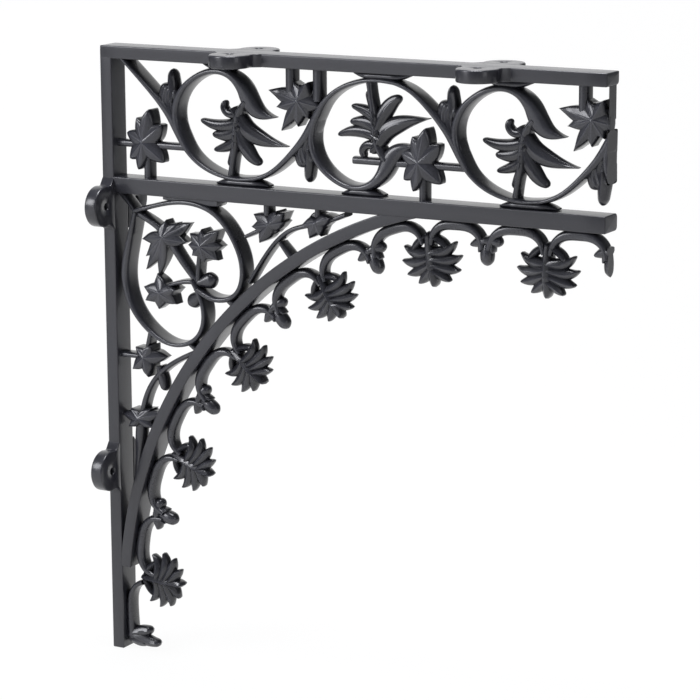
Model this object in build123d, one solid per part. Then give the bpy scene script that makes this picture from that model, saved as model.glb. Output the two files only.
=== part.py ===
# Cast iron shelf bracket with an open scrollwork frieze, a leafy spandrel and a hanging cresting.
# X runs out from the wall, Y along the wall and Z up. The origin is the centre of the wall
# screw pattern: on the wall face, in the middle of the bracket's depth.

from build123d import *
import math
import os

# Frame of flat bars
projection = 537.0        # wall face to the open end of the bars
height = 610.0            # foot of the wall bar to the shelf face
depth = 27.0              # every bar, front face to rear face
wall_bar_width = 13.0
shelf_bar_height = 12.5
rail_height = 16.0
frieze_height = 115.5     # clear opening between the shelf bar and the rail
rear_round = 4.0          # rounded rear corners of the bars
corner_round = 3.0        # outer corner where the wall bar meets the shelf bar

# Arch rib
arch_radius = 447.0       # outer face of the rib
arch_width = 12.0
arch_lap_wall = 4.3       # how far the arch's circle runs into the wall bar
arch_lap_rail = 26.0      # how far the arch's circle runs into the rail
arch_bevel = 1.5

# Screw lugs
lug_radius = 20.0
lug_reach = 13.4          # face of the bar to the centre of the screw hole
lug_blend = 8.0
screw_hole = 7.5
lug_edge = 1.5
shelf_lug_inner = 156.0   # wall face to the first pair of shelf screws
shelf_lug_outer = 416.0
wall_lug_lower = 188.0    # foot to the lower pair of wall screws
wall_lug_upper = 454.0

# Ornament
frieze_halves = 3.47      # half waves of the running scroll between wall bar and open end
scroll_depth = 23.0
scroll_bevel = 1.3
tie_depth = 16.0          # the thinner stems, posts and hooks
tie_width = 5.0
tie_bevel = 1.0
leaf_ridge = 25.0         # depth of a leaf along its midrib
leaf_edge = 9.0           # depth of a leaf at its tips
acanthus_depth = 21.0
bud_width = 15.0
bud_tip = 1.0             # flat at the end of a bud
cusp_count = 8            # cresting stations on the arch
arch_foot_angle = 175.8   # direction of the lowest cresting leaf, seen from the arch centre
arch_step_growth = 0.16   # degrees by which each arch step is wider than the one above it
turn_gap = 5.5            # arch and rail meeting line to the leaf that hangs beside it
arch_leaf_size = 0.92     # leaves on the arch against those on the rail
leaf_drop = 38.0          # arch or rail to the middle of a leaf
foot_leaf_drop = 31.0
post_width = 8.0
finial_width = 13.0

# Levels and places that follow from the sizes above
rail_top = height - shelf_bar_height - frieze_height
rail_bottom = rail_top - rail_height
shelf_bar_bottom = height - shelf_bar_height
arch_inner = arch_radius - arch_width
arch_x = wall_bar_width + arch_radius - arch_lap_wall
arch_z = rail_bottom + arch_lap_rail - arch_radius
wall_screws_centre = (wall_lug_lower + wall_lug_upper) / 2
half_wave = (projection - wall_bar_width) / frieze_halves
overlap = 1.5             # how far a piece is drawn into its seat before it is trimmed to it


def flat_face(edges):
    """A face in the XZ plane from its edges."""
    return make_face(edges)


def slab(face, thickness, bevel=0.0):
    """A face drawn at mid depth, thickened evenly to the front and the rear."""
    body = extrude(face, amount=thickness / 2, dir=(0, 1, 0)) + extrude(face, amount=thickness / 2, dir=(0, -1, 0))
    return body if bevel <= 0 else chamfer(body.faces().filter_by(Axis.Y).edges(), bevel)


def offset_pair(path):
    """Left and right outline points of a band from its centre points (x, z, width)."""
    left, right = [], []
    for i, (x, z, width) in enumerate(path):
        before = path[max(i - 1, 0)]
        after = path[min(i + 1, len(path) - 1)]
        run = math.hypot(after[0] - before[0], after[1] - before[1])
        nx = -(after[1] - before[1]) / run * width / 2
        nz = (after[0] - before[0]) / run * width / 2
        left.append((x + nx, 0, z + nz))
        right.append((x - nx, 0, z - nz))
    return left, right


def band(path, thickness, bevel):
    """A curved stem of changing width, with bevelled front and rear edges."""
    left, right = offset_pair(path)
    edges = [
        Spline(*left),
        Line(left[-1], right[-1]),
        Spline(*reversed(right)),
        Line(right[0], left[0]),
    ]
    return slab(flat_face(edges), thickness, bevel)


def block(x0, x1, z0, z1, thickness):
    """A plain seat or post between two X and two Z places."""
    return Pos((x0 + x1) / 2, 0, (z0 + z1) / 2) * Box(x1 - x0, thickness, z1 - z0)


def lobe(x, z, angle, reach, width, thickness, blunt=0.6):
    """One pointed leaf lobe, its sides two arcs that meet at the tip."""
    outline = [
        ThreePointArc((0, 0, 0.3 * width), (0.5 * reach, 0, width / 2), (reach, 0, blunt)),
        Line((reach, 0, blunt), (reach, 0, -blunt)),
        ThreePointArc((reach, 0, -blunt), (0.5 * reach, 0, -width / 2), (0, 0, -0.3 * width)),
        Line((0, 0, -0.3 * width), (0, 0, 0.3 * width)),
    ]
    return Pos(x, 0, z) * Rot(0, -angle, 0) * slab(flat_face(outline), thickness)


def fold(x, z, angle, half_width, length, ridge, edge):
    """A long prism with a ridge along its middle, which folds a leaf's two halves back."""
    slope = (ridge - edge) / 2 / half_width
    far = half_width * 1.8
    far_edge = max(ridge / 2 - slope * far, 1.0)
    points = [(-far, far_edge), (0, ridge / 2), (far, far_edge), (far, -far_edge), (0, -ridge / 2), (-far, -far_edge)]
    section = flat_face(Polyline(*[(0, y, z_) for z_, y in points], close=True))
    prism = extrude(section, amount=length, dir=(1, 0, 0)) + extrude(section, amount=length, dir=(-1, 0, 0))
    return Pos(x, 0, z) * Rot(0, -angle, 0) * prism


def largest(shape):
    """The biggest solid of a shape, so that trimming leaves no crumbs."""
    return max(shape.solids(), key=lambda solid: solid.volume)


def leaf(x, z, lobes, ridge_angle, half_width=26.0, extra=()):
    """A folded leaf: its lobes (angle, reach, width) joined, then folded along the midrib."""
    flat = None
    for angle, reach, width in lobes:
        one = lobe(x, z, angle, reach, width, leaf_ridge + 2)
        flat = one if flat is None else flat + one
    folded = flat & fold(x, z, ridge_angle, half_width, 3 * half_width, leaf_ridge, leaf_edge)
    for piece in extra:
        folded = folded + piece
    return folded


def trim(piece, *neighbours):
    """Cut a piece back to the faces of the pieces that it seats on."""
    box = piece.bounding_box()
    for other in neighbours:
        near = other.bounding_box()
        apart = (
            box.min.X > near.max.X or near.min.X > box.max.X
            or box.min.Y > near.max.Y or near.min.Y > box.max.Y
            or box.min.Z > near.max.Z or near.min.Z > box.max.Z
        )
        if not apart:
            piece = piece - other
    return largest(piece)


# The flat bars

def wall_bar():
    """Upright that lies on the wall, rear corner rounded, outer top corner eased."""
    body = block(0, wall_bar_width, 0, height, depth)
    body = fillet(body.edges().filter_by(Axis.Z).group_by(Axis.X)[-1].sort_by(Axis.Y)[-1], rear_round)
    return fillet(body.edges().filter_by(Axis.Y).group_by(Axis.Z)[-1].sort_by(Axis.X)[0], corner_round)


def long_bar(z0, z1, round_top):
    """A bar from the wall bar to the open end, its rear long edges rounded."""
    body = block(wall_bar_width, projection, z0, z1, depth)
    rear = body.edges().filter_by(Axis.X).group_by(Axis.Y)[-1].sort_by(Axis.Z)
    return fillet(rear[0], rear_round) if not round_top else fillet([rear[0], rear[1]], rear_round)


def arch_point(radius, angle):
    """A point on a circle about the arch centre; the angle starts at +X and turns up."""
    turn = math.radians(angle)
    return (arch_x + radius * math.cos(turn), 0, arch_z + radius * math.sin(turn))


def arch_rib(bars):
    """Quarter arch between the wall bar and the rail, running out against the wall bar's foot."""
    top = 180 - math.degrees(math.asin((rail_bottom + rail_height / 2 - arch_z) / arch_inner))
    foot_inner = arch_foot_angle - 6.2
    middle = (top + foot_inner) / 2
    edges = [
        ThreePointArc(arch_point(arch_radius, arch_foot_angle), arch_point(arch_radius, middle),
                      arch_point(arch_radius, top)),
        Line(arch_point(arch_radius, top), arch_point(arch_inner, top)),
        ThreePointArc(arch_point(arch_inner, top), arch_point(arch_inner, middle),
                      arch_point(arch_inner, foot_inner)),
        Line(arch_point(arch_inner, foot_inner), arch_point(arch_radius, arch_foot_angle)),
    ]
    return trim(slab(flat_face(edges), depth), *bars)


# Screw lugs

def lug_outline():
    """Lug seen along its screw, drawn from the bar's face: round lobe, concave blends."""
    rise = lug_blend - lug_reach
    blend_x = math.sqrt((lug_radius + lug_blend) ** 2 - rise ** 2)
    share = lug_radius / (lug_radius + lug_blend)
    touch = (blend_x * share, lug_reach + rise * share)
    dip = math.atan2(lug_reach + rise * share - lug_blend, blend_x * share - blend_x)
    half_turn = (dip + 1.5 * math.pi) / 2 if dip > 0 else (dip + 2 * math.pi + 1.5 * math.pi) / 2
    inside = (blend_x + lug_blend * math.cos(half_turn), lug_blend + lug_blend * math.sin(half_turn))
    edges = [
        ThreePointArc((blend_x, 0), inside, touch),
        ThreePointArc(touch, (0, lug_reach + lug_radius), (-touch[0], touch[1])),
        ThreePointArc((-touch[0], touch[1]), (-inside[0], inside[1]), (-blend_x, 0)),
        Line((-blend_x, 0), (blend_x, 0)),
    ]
    return make_face(edges)


def lug(thickness):
    """A flat lug with its screw hole, its bar face along local X and its screw along local Z."""
    body = extrude(lug_outline(), amount=thickness)
    rim = body.edges().group_by(Axis.Z)[-1].filter_by(GeomType.CIRCLE)
    body = chamfer(rim, lug_edge)
    return body - Pos(0, lug_reach, thickness / 2) * Cylinder(screw_hole / 2, thickness * 2)


def shelf_lug(x, side):
    """Lug on the front (-1) or rear (+1) face of the shelf bar, flush with the shelf face."""
    turn = Rot(0, 0, 0) if side > 0 else Rot(0, 0, 180)
    return largest(Pos(x, side * depth / 2, shelf_bar_bottom) * turn * lug(shelf_bar_height))


def wall_lug(z, side):
    """Lug on the front (-1) or rear (+1) face of the wall bar, flush with the wall face."""
    upright = Rot(0, 90, 0) if side > 0 else Rot(0, 90, 0) * Rot(0, 0, 180)
    return largest(Pos(0, side * depth / 2, z) * upright * lug(wall_bar_width))


# Frieze: a running scroll whose half waves alternate up and down

def frieze_point(u, v):
    """A place in the frieze from percent of a half wave along it and percent of its height."""
    return (wall_bar_width + u / 100 * half_wave, rail_top + v / 100 * frieze_height)


def frieze_path(points):
    """Band points (percent along, percent up, width in mm) set out in the frieze."""
    return [(*frieze_point(u, v), width) for u, v, width in points]


def half_turned(body, count):
    """The same ornament, count half waves further out, upside down on every odd one."""
    middle = rail_top + frieze_height / 2
    if count % 2:
        body = mirror(body, about=Plane.XY.offset(middle))
    return Pos(count * half_wave, 0, 0) * body


def frieze_scroll(first):
    """One half wave: the main stem, the branch that closes its ring, and its two seats."""
    start = [(4.6, 102.2, 5), (11.3, 94.4, 5.5)] if first else [(4.0, 93.1, 5), (11.3, 90.0, 5.2)]
    stem = start + [(24.5, 78.4, 6.5), (41.1, 55.4, 13), (48.3, 39.8, 10), (55.0, 26.0, 7), (64.2, 15.6, 6),
                    (76.2, 8.7, 5.5), (90.7, 5.6, 5), (104.0, 6.9, 5)]
    branch = [(44.4, 60.6, 12), (49.7, 74.5, 10), (57.6, 84.8, 8), (67.5, 91.8, 7), (78.8, 93.9, 7),
              (88.7, 90.0, 9), (98.7, 71.9, 17)]
    body = band(frieze_path(stem), scroll_depth, scroll_bevel)
    body = body + band(frieze_path(branch), scroll_depth, scroll_bevel)
    low = [frieze_point(u, v) for u, v in ((77, 0), (112, 0), (110, 6), (90, 5), (80, 7))]
    high = [frieze_point(u, v) for u, v in ((69, 100), (94, 100), (91, 92), (73, 93))]
    for seat in (low, high):
        drawn = Polyline(*[(x, 0, z) for x, z in seat], close=True)
        body = body + slab(flat_face(drawn), scroll_depth)
    return body


def calyx_bud():
    """Tongue-shaped bud that stands in the fork of the scroll."""
    x, z = frieze_point(43.9, 70.0)
    return lobe(x, z, 94, 26, 13, tie_depth, blunt=2.5)


def horn(path, thickness, ends=0.45):
    """A curved leaf blade lofted through ridged sections that shrink towards its tip."""
    left, right = offset_pair(path)
    sections = []
    for i, (a, b) in enumerate(zip(left, right)):
        share = 1 - (1 - ends) * i / (len(path) - 1)
        half = thickness * share / 2
        middle = ((a[0] + b[0]) / 2, (a[2] + b[2]) / 2)
        edge = half * 0.3
        points = [(a[0], -edge, a[2]), (middle[0], -half, middle[1]), (b[0], -edge, b[2]),
                  (b[0], edge, b[2]), (middle[0], half, middle[1]), (a[0], edge, a[2])]
        sections.append(flat_face(Polyline(*points, close=True)))
    return loft(sections)


def acanthus():
    """The leaf that a ring curls into: seven blades round a stalk that stands on the ring."""
    blades = [
        [(95.4, 80.5, 13), (99.3, 69.3, 17), (104.6, 61.9, 13), (110.6, 58.9, 7), (116.6, 58.0, 1.5)],
        [(90.7, 58.9, 8), (96.0, 47.6, 13), (104.0, 40.7, 12), (113.9, 36.8, 7), (125.2, 34.6, 1.5)],
        [(90.1, 50.2, 8), (93.4, 35.5, 10), (98.0, 26.0, 10), (102.6, 20.8, 7.5), (106.6, 19.0, 3)],
        [(89.4, 38.1, 6), (82.8, 31.2, 6), (72.2, 27.7, 1.5)],
        [(90.7, 45.9, 8), (81.5, 40.7, 8), (71.5, 42.0, 1.5)],
        [(90.7, 51.9, 7), (80.8, 48.1, 8), (70.9, 48.5, 5), (62.9, 51.5, 1.5)],
        [(93.4, 62.3, 9), (87.4, 58.4, 8), (82.1, 59.7, 7.5), (80.1, 64.9, 6), (82.1, 68.4, 3)],
    ]
    stalk = [(97.5, 70.0, 9), (91.5, 59.0, 8), (89.4, 45.9, 8), (88.7, 31.2, 7), (87.4, 19.9, 6), (85.4, 6.1, 6)]
    body = band(frieze_path(stalk), tie_depth, tie_bevel)
    for path in blades:
        body = body + horn(frieze_path(path), acanthus_depth)
    return body


def standing_leaf(reaches_wall):
    """Seven-lobed leaf on a post from the rail, tied sideways to the scroll."""
    x, z = frieze_point(21.5, 30.5)
    lobes = [(79, 33, 12), (108, 25, 11), (160, 23, 12), (224, 25, 12), (256, 28, 11), (318, 28, 13), (42, 26, 13)]
    left, right = frieze_point(0 if reaches_wall else -25, 28), frieze_point(53, 28)
    tie = block(left[0] - overlap, right[0], left[1] - tie_width / 2, left[1] + tie_width / 2, tie_depth * 0.7)
    post = block(x - post_width / 2 + 2, x + post_width / 2 + 2, rail_top - overlap, z, tie_depth)
    return leaf(x, z, lobes, 90, extra=(tie, post))


def hanging_leaf():
    """Broad leaf that hangs from the shelf bar on two posts and leans on the next ring."""
    x, z = frieze_point(137, 74)
    lobes = [(168, 37, 14), (196, 27, 12), (238, 33, 10), (262, 20, 12), (110, 18, 13), (345, 22, 14), (60, 20, 14)]
    posts = []
    for u in (129.5, 149):
        post_x = frieze_point(u, 0)[0]
        posts.append(block(post_x - post_width / 2, post_x + post_width / 2, z, shelf_bar_bottom + overlap, tie_depth))
    brace = block(frieze_point(129.5, 0)[0], frieze_point(152, 0)[0], z, z + 11, tie_depth * 0.7)
    return leaf(x, z, lobes, 60, extra=(*posts, brace))


# Spandrel: two scrolls that spring from the corner, and the leaves between them

def spandrel_point(a, b):
    """A place in the spandrel, from the corner out and down, in percent of the arch radius."""
    return (wall_bar_width + a / 100 * arch_radius, rail_bottom - b / 100 * arch_radius)


def spandrel_path(points):
    """Band points (percent out, percent down, width in mm) set out in the spandrel."""
    return [(*spandrel_point(a, b), width) for a, b, width in points]


def spandrel_left_scroll():
    """Scroll that drops beside the wall bar, rests on the arch and turns back up to a rounded lobe."""
    path = [(4.7, 4.0, 5), (2.8, 11.4, 8), (1.7, 18.1, 9), (3.1, 24.4, 7), (7.8, 30.1, 6), (15.0, 32.8, 5),
            (20.8, 29.8, 5.5), (21.7, 23.3, 5.5), (19.0, 17.9, 5)]
    corner = [(-0.5, -0.9, 8), (2.2, 1.6, 6), (4.9, 4.6, 6)]
    foot = [(17.5, 32.0, 6), (20.5, 34.0, 6)]
    body = band(spandrel_path(path), scroll_depth, scroll_bevel)
    for short in (corner, foot):
        body = body + band(spandrel_path(short), tie_depth, tie_bevel)
    x, z = spandrel_point(20.8, 21.2)
    return body + lobe(x, z, 216, 20, 12, tie_depth, blunt=3.0)


def spandrel_top_scroll():
    """Scroll that runs out under the rail, drops to the arch and curls back inside."""
    path = [(4.5, 3.8, 5), (10.5, 2.1, 5), (17.2, 1.0, 6), (25.0, 2.9, 6.5), (30.0, 8.5, 6.5), (31.9, 14.4, 6),
            (30.2, 20.1, 6), (24.4, 21.7, 6), (20.0, 19.8, 5)]
    seat = [spandrel_point(a, b) for a, b in ((12.0, 0), (26.0, 0), (25.0, 2.2), (20.0, 1.2), (13.0, 1.6))]
    body = band(spandrel_path(path), scroll_depth, scroll_bevel)
    body = body + slab(flat_face(Polyline(*[(x, 0, z) for x, z in seat], close=True)), scroll_depth)
    heel = band(spandrel_path([(27.5, 21.4, 7), (30.5, 23.5, 9)]), tie_depth, tie_bevel)
    return body + heel


def spandrel_branch():
    """Branch inside the scrolls, with its rounded end lobe."""
    stems = [
        [(5.2, 4.5, 7), (11.9, 8.5, 8), (15.0, 12.5, 8.5), (19.9, 18.3, 7)],
        [(20.1, 18.8, 6), (20.4, 15.2, 6), (21.0, 11.0, 6)],
        [(20.2, 18.5, 6), (16.1, 18.8, 5), (11.0, 20.6, 5)],
    ]
    body = None
    for stem in stems:
        one = band(spandrel_path(stem), tie_depth, tie_bevel)
        body = one if body is None else body + one
    x, z = spandrel_point(20.4, 18.6)
    return body + lobe(x, z, 15, 19, 12, tie_depth, blunt=3.0)


# Leaves of the spandrel: percent out, percent down, midrib angle, then (angle, reach, width) lobes
spandrel_leaves = {
    "spandrel_leaf_corner": (11.9, 9.2, 315, [
        (83, 18, 10), (188, 28, 10), (221, 32, 10), (235, 42, 9), (257, 41, 9), (47, 21, 10), (29, 33, 10),
        (354, 26, 10)]),
    "spandrel_leaf_outer": (21.7, 10.3, 70, [
        (42, 26, 10), (3, 22, 10), (321, 21, 10), (90, 17, 10), (144, 19, 10), (180, 17, 10), (222, 15, 10),
        (281, 16, 10)]),
    "spandrel_leaf_inner": (11.0, 21.4, 200, [
        (169, 21, 10), (208, 20, 10), (257, 18, 10), (327, 20, 10), (12, 18, 10), (108, 19, 10)]),
    "spandrel_side_leaf_1": (38.9, 4.2, 45, [
        (158, 22, 9), (190, 22, 10), (238, 22, 10), (60, 16, 9), (37, 21, 9), (11, 16, 9)]),
    "spandrel_side_leaf_2": (50.3, 2.9, 30, [
        (191, 16, 8), (243, 18, 8), (287, 14, 8), (19, 18, 8)]),
    "spandrel_lower_leaf": (6.5, 36.4, 90, [
        (5, 24, 9), (220, 22, 10), (282, 20, 9), (140, 15, 8), (60, 15, 8)]),
}


def spandrel_tie(start, end, width):
    """Straight tie between two spandrel places."""
    middle = ((start[0] + end[0]) / 2, (start[1] + end[1]) / 2)
    path = [(*start, width), (*middle, width), (*end, width)]
    return band(spandrel_path(path), tie_depth, tie_bevel)


def leaf_ties(name):
    """The posts and ties that hold a spandrel leaf."""
    ties = {
        "spandrel_side_leaf_1": [((37.8, 4.0), (37.8, -0.5), 8), ((39.0, 4.4), (31.0, 8.0), 5)],
        "spandrel_side_leaf_2": [((50.3, 3.0), (50.3, -0.5), 7)],
        "spandrel_lower_leaf": [((6.5, 36.4), (-0.5, 36.4), 6), ((6.5, 36.4), (7.8, 30.5), 6)],
    }
    return [spandrel_tie(*tie) for tie in ties.get(name, [])]


def side_stem():
    """Stem that climbs the arch beside the top scroll, with a strut back to the arch."""
    stem = [(33.3, 17.4, 4.5), (38.0, 10.3, 5), (43.6, 5.2, 5), (49.9, 3.4, 5), (57.0, 0.8, 5)]
    strut = [(40.0, 7.0, 6), (42.0, 9.0, 7), (45.0, 12.5, 8)]
    return band(spandrel_path(stem), tie_depth, tie_bevel) + band(spandrel_path(strut), tie_depth, tie_bevel)


def lower_stem():
    """Stem that leaves the arch below the scrolls and drops to the finial."""
    path = [(20.5, 33.6, 5.5), (15.0, 36.2, 5.5), (8.5, 41.4, 6), (5.4, 48.3, 7), (5.0, 51.0, 8)]
    x, z = spandrel_point(9.6, 38.2)
    return band(spandrel_path(path), tie_depth, tie_bevel) + lobe(x, z, 284, 26, 9, tie_depth, blunt=1.5)


def finial():
    """Collar of leaves across the narrow end of the spandrel, and the bud that tapers below it."""
    x, z = spandrel_point(4.8, 50.4)
    lobes = [(175, 24, 10), (15, 27, 10), (215, 18, 9), (330, 18, 9), (140, 14, 9), (40, 16, 9)]
    body = leaf(x, z, lobes, 90)
    taper = [(4.6, 50.0, 10), (4.2, 54.0, finial_width), (3.8, 58.5, finial_width * 0.8), (3.1, 63.5, 7), (2.4, 68.0, 4)]
    return body + band(spandrel_path(taper), tie_depth, tie_bevel)


# Cresting: leaves and buds in turn, hung from hooks along the arch and the rail

turn_angle = 180 - math.degrees(math.asin((rail_bottom - arch_z) / arch_inner))
arch_growth_total = arch_step_growth * cusp_count * (cusp_count - 1) / 2
arch_step = (arch_foot_angle - turn_angle - arch_growth_total) / cusp_count
turn_x = arch_point(arch_inner, turn_angle)[0] + turn_gap
rail_step = (projection + 1.0 - turn_x) / 3


def guide(station, drop):
    """Place and angle of a point hung below the arch (stations under 0) or below the rail."""
    if station < 0:
        angle = turn_angle - station * arch_step + arch_step_growth * station * (station + 1) / 2
        x, _, z = arch_point(arch_inner - drop, angle)
        return x, z, 90 - angle
    tilt = 8.0 * max(1 - station * 2, 0)
    lean = math.radians(tilt)
    return turn_x + station * rail_step + drop * math.sin(lean), rail_bottom - drop * math.cos(lean), -tilt


def hung(body, station):
    """Hang an ornament drawn round the origin, pointing down, at a station of the cresting."""
    x, z, angle = guide(station, 0)
    return Pos(x, 0, z) * Rot(0, angle, 0) * body


def cresting_leaf(size, drop):
    """Palmette of nine lobes on a short stalk, folded along its upright midrib."""
    pairs = [(30, 28, 10), (58, 31, 10.5), (85, 31, 11), (112, 31, 12)]
    lobes = [(-90, 27 * size, 12 * size), (90, 25, 11)]
    for away, reach, width in pairs:
        lobes += [(-90 + away, reach * size, width * size), (-90 - away, reach * size, width * size)]
    return leaf(0, -drop, lobes, 90)


def bud():
    """Round-ended bud, turned about its hanging axis, with two calyx leaves."""
    half = bud_width / 2
    profile = [
        Line((0, 0, -14), (half * 0.45, 0, -14)),
        ThreePointArc((half * 0.45, 0, -14), (half * 0.85, 0, -22), (half, 0, -31)),
        ThreePointArc((half, 0, -31), (half * 0.75, 0, -38), (bud_tip, 0, -41)),
        Line((bud_tip, 0, -41), (0, 0, -41)),
        Line((0, 0, -41), (0, 0, -14)),
    ]
    body = revolve(flat_face(profile), axis=Axis.Z)
    for angle in (-8, 188):
        body = body + lobe(0, -20, angle, 18, 10, tie_depth, blunt=2.0)
    return body


def hook(start, end):
    """Arched stem between two stations, its crown seated on the arch or the rail."""
    outer = [(0.06, 26), (0.25, 2.5), (0.5, -0.6), (0.77, 2.2), (0.96, 26)]
    inner = [(0.88, 26), (0.7, 10.8), (0.5, 9.0), (0.32, 10.5), (0.13, 26)]
    edges = []
    for side in (outer, inner):
        places = []
        for share, drop in side:
            x, z, _ = guide(start + share * (end - start), drop)
            places.append((x, 0, z))
        edges.append(Spline(*places))
    edges += [Line(edges[0] @ 1, edges[1] @ 0), Line(edges[1] @ 1, edges[0] @ 0)]
    return slab(flat_face(edges), tie_depth)


def foot_bud():
    """Stem below the lowest leaf, ended by a leafy bud that points away from the wall."""
    stem = [(32.0, 70.0, 6), (25.0, 66.5, 6), (19.0, 59.0, 6.5), (16.5, 48.0, 7.5), (16.5, 34.0, 8), (17.0, 20.0, 9),
            (18.0, 8.0, 10)]
    body = band(stem, tie_depth, tie_bevel)
    for angle, reach, width in ((-8, 32, 10), (20, 23, 9), (-22, 19, 8)):
        body = body + lobe(18, 10.5, angle, reach, width, tie_depth, blunt=1.5)
    return body


def frame_pieces():
    """The bars and the lugs, and the spaces that the ornament may not enter."""
    seats = (
        block(-overlap, wall_bar_width, -overlap, height + overlap, 2 * depth),
        block(0, projection + overlap, shelf_bar_bottom, height + overlap, 2 * depth),
        block(0, projection + overlap, rail_bottom, rail_top, 2 * depth),
        block(projection, projection + half_wave, 0, height, 2 * depth),
    )
    made = {
        "wall_bar": wall_bar(),
        "shelf_bar": long_bar(shelf_bar_bottom, height, False),
        "middle_rail": long_bar(rail_bottom, rail_top, True),
        "arch_rib": arch_rib(seats),
    }
    for side, name in ((-1, "front"), (1, "rear")):
        made[f"shelf_lug_inner_{name}"] = shelf_lug(shelf_lug_inner, side)
        made[f"shelf_lug_outer_{name}"] = shelf_lug(shelf_lug_outer, side)
        made[f"wall_lug_upper_{name}"] = wall_lug(wall_lug_upper, side)
        made[f"wall_lug_lower_{name}"] = wall_lug(wall_lug_lower, side)
    return made, seats


def frieze_pieces(seats):
    """The running scroll, half wave after half wave, each trimmed to what carries it."""
    first, ring = frieze_scroll(True), frieze_scroll(False)
    broad, curl, tongue = hanging_leaf(), acanthus(), calyx_bud()
    made, scrolls = {}, []
    for count in range(math.ceil(frieze_halves)):
        drawn = half_turned(first if count == 0 else ring, count)
        scrolls.append(trim(drawn, *seats, *scrolls[-1:]))
        made[f"frieze_scroll_{count + 1}"] = scrolls[-1]
    carriers = list(scrolls)
    for count in range(math.ceil(frieze_halves)):
        made[f"frieze_calyx_{count + 1}"] = trim(half_turned(tongue, count), *seats, *scrolls)
        carriers.append(made[f"frieze_calyx_{count + 1}"])
        if count < math.floor(frieze_halves):
            made[f"frieze_acanthus_{count + 1}"] = trim(half_turned(curl, count), *seats, *scrolls)
            carriers.append(made[f"frieze_acanthus_{count + 1}"])
    for count in range(math.ceil(frieze_halves)):
        drawn = half_turned(broad, count - 1) if count % 2 else half_turned(standing_leaf(count == 0), count)
        made[f"frieze_leaf_{count + 1}"] = trim(drawn, *seats, *carriers)
    return made


def spandrel_pieces(seats, arch):
    """Scrolls first, then the branch and stems between them, then the leaves on those."""
    made = {}
    drawn = {
        "spandrel_scroll_left": spandrel_left_scroll(),
        "spandrel_scroll_top": spandrel_top_scroll(),
        "spandrel_branch": spandrel_branch(),
        "spandrel_side_stem": side_stem(),
        "spandrel_lower_stem": lower_stem(),
    }
    for name, (a, b, ridge_angle, lobes) in spandrel_leaves.items():
        x, z = spandrel_point(a, b)
        drawn[name] = leaf(x, z, lobes, ridge_angle, half_width=24.0, extra=leaf_ties(name))
    drawn["spandrel_finial"] = finial()
    for name, body in drawn.items():
        made[name] = trim(body, *seats, arch, *made.values())
    return made


def cresting_pieces(seats, arch):
    """Leaves at every second station, buds with their two hooks between them."""
    last = 3
    rail_leaf, arch_leaf = cresting_leaf(1.0, leaf_drop), cresting_leaf(arch_leaf_size, leaf_drop)
    foot_leaf, drop_bud = cresting_leaf(arch_leaf_size, foot_leaf_drop), bud()
    made = {}
    for station in range(-cusp_count + 1, last + 1, 2):
        body = hung(drop_bud, station) + hook(station - 1, station)
        if station < last:
            body = body + hook(station, station + 1)
        made[f"cresting_bud_{station + cusp_count}"] = trim(body, *seats, arch)
    made["cresting_foot_bud"] = trim(foot_bud(), *seats, arch)
    hooks = list(made.values())
    for station in range(-cusp_count, last, 2):
        pattern = foot_leaf if station == -cusp_count else arch_leaf if station < 0 else rail_leaf
        drawn = hung(pattern, station)
        made[f"cresting_leaf_{station + cusp_count + 1}"] = trim(drawn, *seats, arch, *hooks)
    return made


def build():
    """Every piece of the bracket by name, in the foot frame."""
    made, seats = frame_pieces()
    arch = made["arch_rib"]
    return made | frieze_pieces(seats) | spandrel_pieces(seats, arch) | cresting_pieces(seats, arch)


if __name__ == "__main__":
    os.makedirs("parts", exist_ok=True)
    for name, piece in build().items():
        placed = Pos(0, 0, -wall_screws_centre) * piece
        placed.label = name
        export_step(placed, f"parts/{name}.step")
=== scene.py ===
import math
import bpy
import numpy as np
from mathutils import Matrix, Vector


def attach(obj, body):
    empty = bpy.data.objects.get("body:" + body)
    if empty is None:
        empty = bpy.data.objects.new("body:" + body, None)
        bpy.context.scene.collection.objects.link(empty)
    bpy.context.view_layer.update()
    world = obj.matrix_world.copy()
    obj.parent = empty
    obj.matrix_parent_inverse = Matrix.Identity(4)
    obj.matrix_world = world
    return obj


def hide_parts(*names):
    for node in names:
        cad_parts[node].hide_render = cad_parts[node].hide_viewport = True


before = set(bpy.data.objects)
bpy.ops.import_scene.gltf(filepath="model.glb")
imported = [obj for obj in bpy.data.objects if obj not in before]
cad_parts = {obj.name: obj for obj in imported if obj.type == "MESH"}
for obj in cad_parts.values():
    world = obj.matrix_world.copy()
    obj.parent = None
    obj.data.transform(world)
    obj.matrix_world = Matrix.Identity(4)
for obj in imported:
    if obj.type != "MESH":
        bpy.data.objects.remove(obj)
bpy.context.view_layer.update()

# The bracket hangs with its wall face on X = 0. Sizes below are in millimetres and heights are
# counted from its foot; the centre of the wall screws, where the frame's origin is, is higher.
MM = 0.001
CREASE = math.radians(50)
FOOT_TO_ORIGIN = 321.0
MID_TO_FRONT = 13.5


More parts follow.
